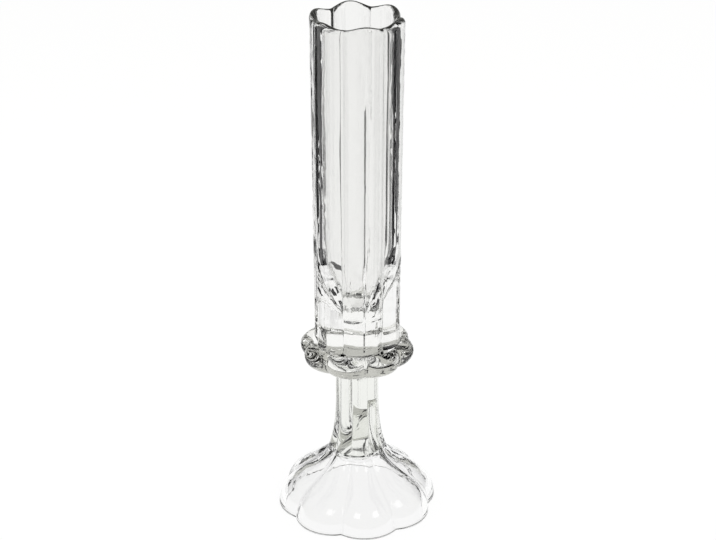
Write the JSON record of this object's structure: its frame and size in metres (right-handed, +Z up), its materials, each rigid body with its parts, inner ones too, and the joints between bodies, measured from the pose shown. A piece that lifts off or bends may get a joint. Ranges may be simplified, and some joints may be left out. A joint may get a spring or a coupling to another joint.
{
  "type": "trumpet vase",
  "caption": "Slim pressed clear glass bud vase: a tall fluted tube on a beaded collar, a fluted stem and a hollow petalled bell foot, for a few cut flowers.",
  "frame": {"origin": "middle of the foot's resting ring, on the surface that the vase stands on", "axes": "+Z up along the tube's axis; -Y is the front, with the mould's seam in the YZ plane"},
  "size_m": [0.0776, 0.0776, 0.25],
  "materials": {
    "foot_glass": "clear pressed soda-lime glass, fire polished, thin wall",
    "stem_glass": "clear pressed soda-lime glass, thick, faint grey-green",
    "collar_glass": "clear pressed soda-lime glass, solid, faint grey-green",
    "tube_glass": "clear pressed soda-lime glass, slightly rippled, fire-polished rim"
  },
  "bodies": {
    "root": {"foot": "foot_glass", "stem": "stem_glass", "collar": "collar_glass", "fluted_tube": "tube_glass"}
  },
  "joints": []
}
